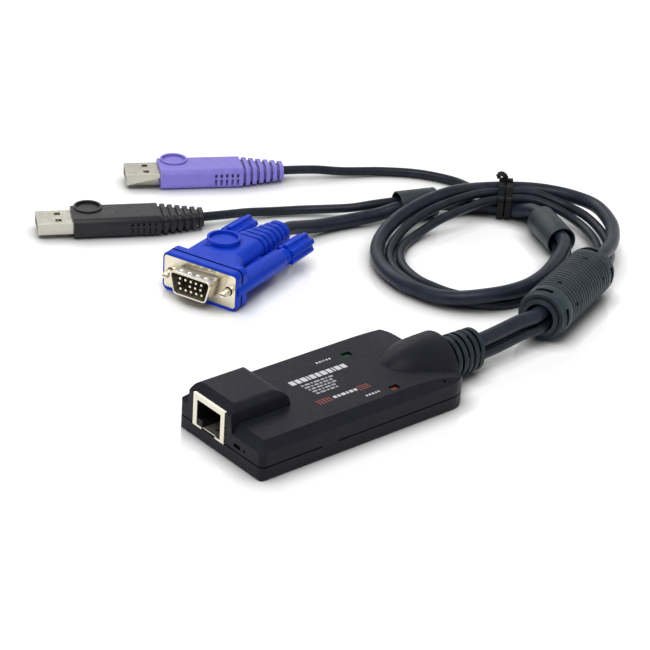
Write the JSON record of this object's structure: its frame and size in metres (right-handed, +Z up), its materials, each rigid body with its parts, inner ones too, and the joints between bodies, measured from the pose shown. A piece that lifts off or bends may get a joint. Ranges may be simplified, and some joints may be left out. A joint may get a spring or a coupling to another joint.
{
  "type": "video and usb adapter cable",
  "caption": "Adapter lead: a flat case with a network socket, a ferrite, a tied loop of cable, a 15 pin video plug with thumbscrews and USB plugs.",
  "frame": {"origin": "middle of the case's underside, on the surface it rests on", "axes": "+X along the case from the network socket to the cables, +Z up, +Y to the side that the plugs lie on"},
  "size_m": [0.2309, 0.214, 0.0188],
  "materials": {
    "case_plastic": "fine matte moulded",
    "case_plastic_low": "fine matte moulded",
    "board": "green solder mask",
    "chip": "matte",
    "can": "satin",
    "socket_metal": "satin tin plate",
    "black_plastic": "matte",
    "gold": "plated",
    "green_lens": "translucent green",
    "amber_lens": "translucent amber",
    "white_plastic": "smooth",
    "boot_rubber": "matte flexible PVC",
    "video_jacket": "satin PVC",
    "usb_jacket": "satin PVC",
    "ferrite_plastic": "fine matte moulded",
    "core": "sintered ferrite",
    "sleeve_rubber": "matte",
    "tie": "plastic coated wire",
    "blue_plastic": "satin moulded",
    "plated": "nickel plate",
    "pin_metal": "plated",
    "purple_plastic": "satin moulded",
    "usb_metal": "nickel plate",
    "black_grip": "satin moulded"
  },
  "bodies": {
    "root": {"upper_shell": "case_plastic", "lower_shell": "case_plastic_low", "circuit_board": "board", "control_chip": "chip", "video_chip": "chip", "clock_crystal": "can", "network_shield": "socket_metal", "network_insert": "black_plastic", "network_contacts": "gold", "online_lens": "green_lens", "power_lens": "amber_lens", "cable_header": "white_plastic", "gland_boot": "boot_rubber", "video_cable": "video_jacket", "purple_usb_cable": "usb_jacket", "black_usb_cable": "usb_jacket", "ferrite_cover": "ferrite_plastic", "ferrite_core": "core", "near_sleeve": "sleeve_rubber", "far_sleeve": "sleeve_rubber", "twist_tie": "tie", "video_hood": "blue_plastic", "video_shield": "plated", "video_insulator": "black_plastic", "video_pins": "pin_metal", "purple_usb_grip": "purple_plastic", "purple_usb_shell": "usb_metal", "purple_usb_tongue": "white_plastic", "purple_usb_contacts": "gold", "black_usb_grip": "black_grip", "black_usb_shell": "usb_metal", "black_usb_tongue": "white_plastic", "black_usb_contacts": "gold"},
    "left_screw": {"left_thumbscrew_knob": "blue_plastic", "left_thumbscrew": "plated"},
    "right_screw": {"right_thumbscrew_knob": "blue_plastic", "right_thumbscrew": "plated"}
  },
  "joints": [
    {"name": "left_thumbscrew_spin", "type": "hinge", "parent": "root", "child": "left_screw", "pos_m": [0.00866, 0.10054, 0.0075], "axis": [-0.9494, -0.314, 0], "continuous": true},
    {"name": "right_thumbscrew_spin", "type": "hinge", "parent": "root", "child": "right_screw", "pos_m": [0.01651, 0.0768, 0.0075], "axis": [-0.9494, -0.314, 0], "continuous": true}
  ]
}
